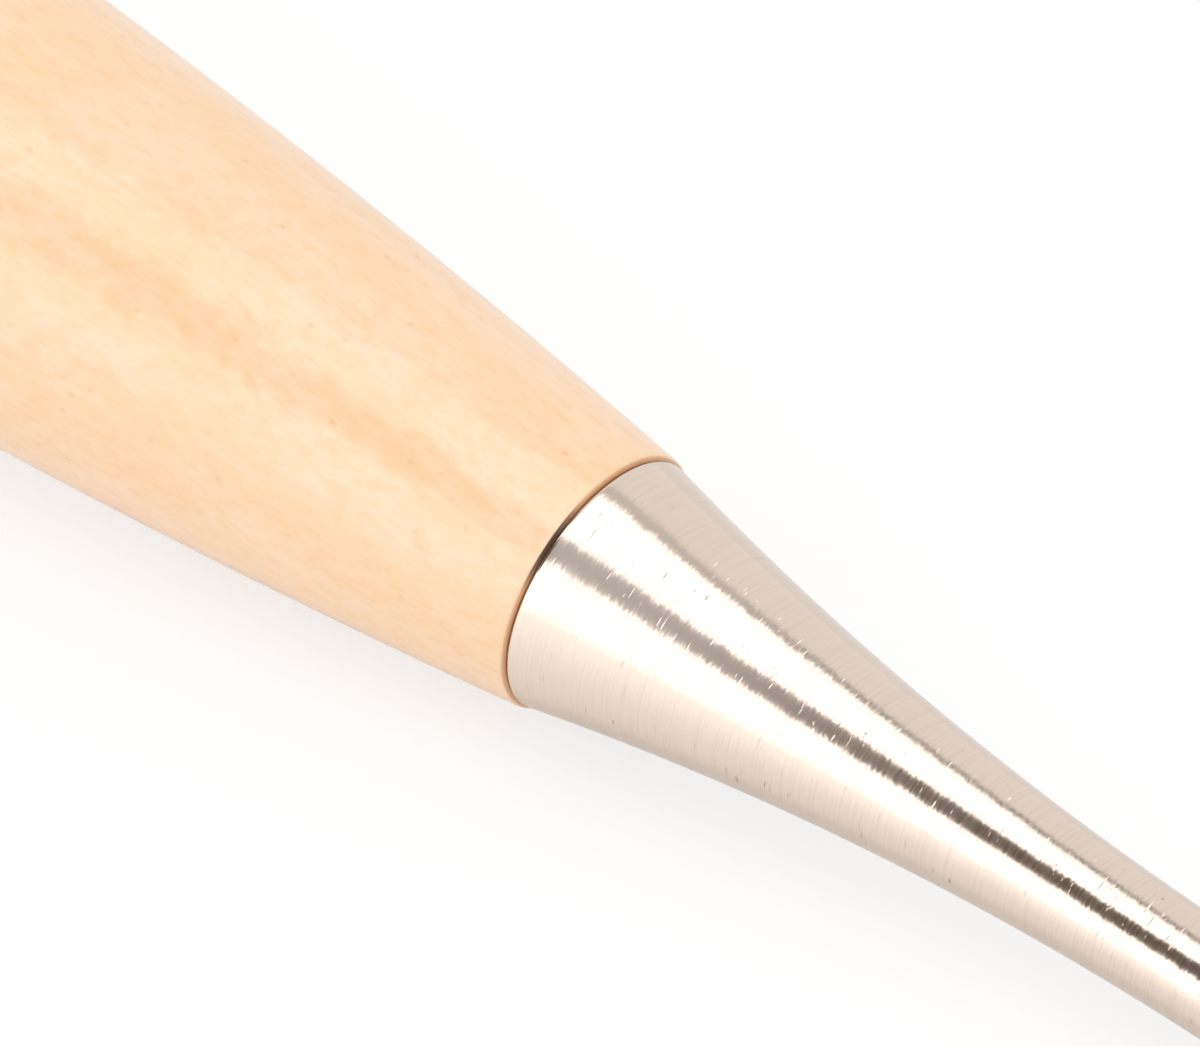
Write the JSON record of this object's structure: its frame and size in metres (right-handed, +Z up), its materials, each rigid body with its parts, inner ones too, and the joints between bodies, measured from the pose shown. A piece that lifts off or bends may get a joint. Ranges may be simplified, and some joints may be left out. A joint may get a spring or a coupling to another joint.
{
  "type": "bradawl",
  "caption": "Bradawl with a turned pale wooden handle, a trumpet-shaped metal ferrule and a round steel blade ground to a chisel edge, for starting screw holes in wood.",
  "frame": {"origin": "on the bench, under the middle of the tool's length as it lies on its handle and its blade", "axes": "+X towards the blade's tip, +Z up from the bench, +Y to the left when looking towards the tip"},
  "size_m": [0.1926, 0.0252, 0.0275],
  "materials": {
    "lacquered_wood": "clear satin lacquer on fine, pale hardwood",
    "satin_nickel": "satin nickel with fine turning marks round the axis",
    "ground_steel": "polished shank with a ground chisel end"
  },
  "bodies": {
    "root": {"handle": "lacquered_wood", "ferrule": "satin_nickel", "blade": "ground_steel"}
  },
  "joints": []
}
